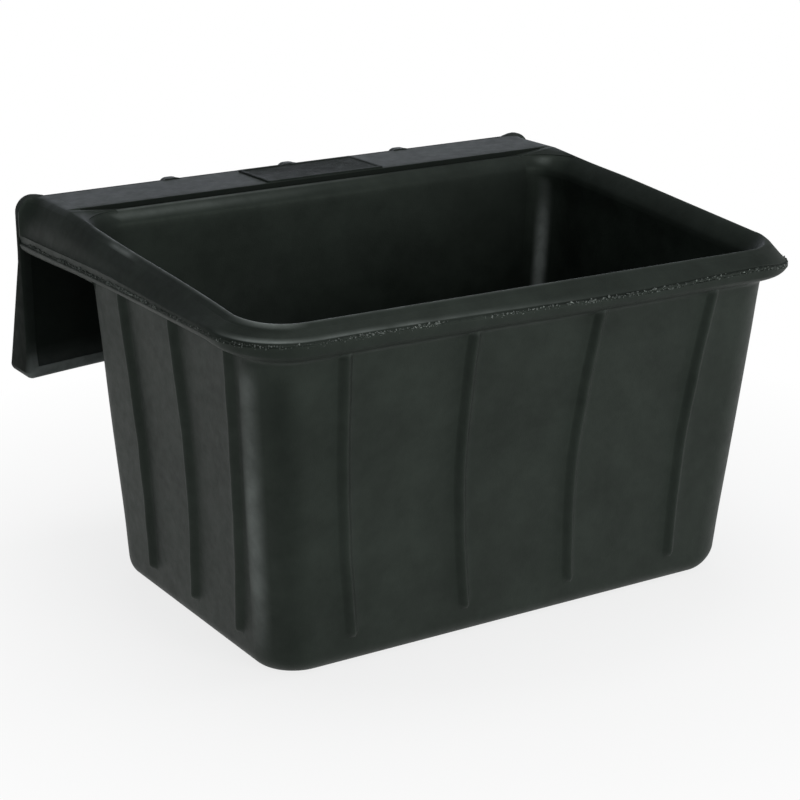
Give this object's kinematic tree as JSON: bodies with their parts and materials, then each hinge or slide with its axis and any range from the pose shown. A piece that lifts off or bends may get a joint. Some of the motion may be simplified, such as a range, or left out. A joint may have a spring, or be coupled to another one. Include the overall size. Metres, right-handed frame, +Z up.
{
  "type": "over-the-fence feed tub",
  "caption": "Tapered black rubber feed tub with a turned-out rim, ribbed walls and a wide hook behind it that hangs on a fence board or rail.",
  "frame": {"origin": "middle of the flat underside, at the nominal floor outline's centre", "axes": "+X along the rim to the right seen from the front, -Y towards the front wall, +Y towards the hook, +Z up"},
  "size_m": [0.428, 0.373, 0.2582],
  "materials": {
    "rubber": "moulded recycled rubber, semi-gloss on edges, dull and faintly mottled on walls"
  },
  "bodies": {
    "root": {"tub_floor": "rubber", "front_wall": "rubber", "right_wall": "rubber", "back_wall": "rubber", "left_wall": "rubber", "front_rim": "rubber", "right_rim": "rubber", "left_rim": "rubber", "back_lip": "rubber", "hook_saddle": "rubber", "saddle_panel": "rubber", "right_cheek": "rubber", "left_cheek": "rubber", "hook_leg": "rubber", "right_flange": "rubber", "left_flange": "rubber", "foot_flange": "rubber", "leg_ribs": "rubber", "front_ribs": "rubber", "right_ribs": "rubber", "left_ribs": "rubber"}
  },
  "joints": []
}
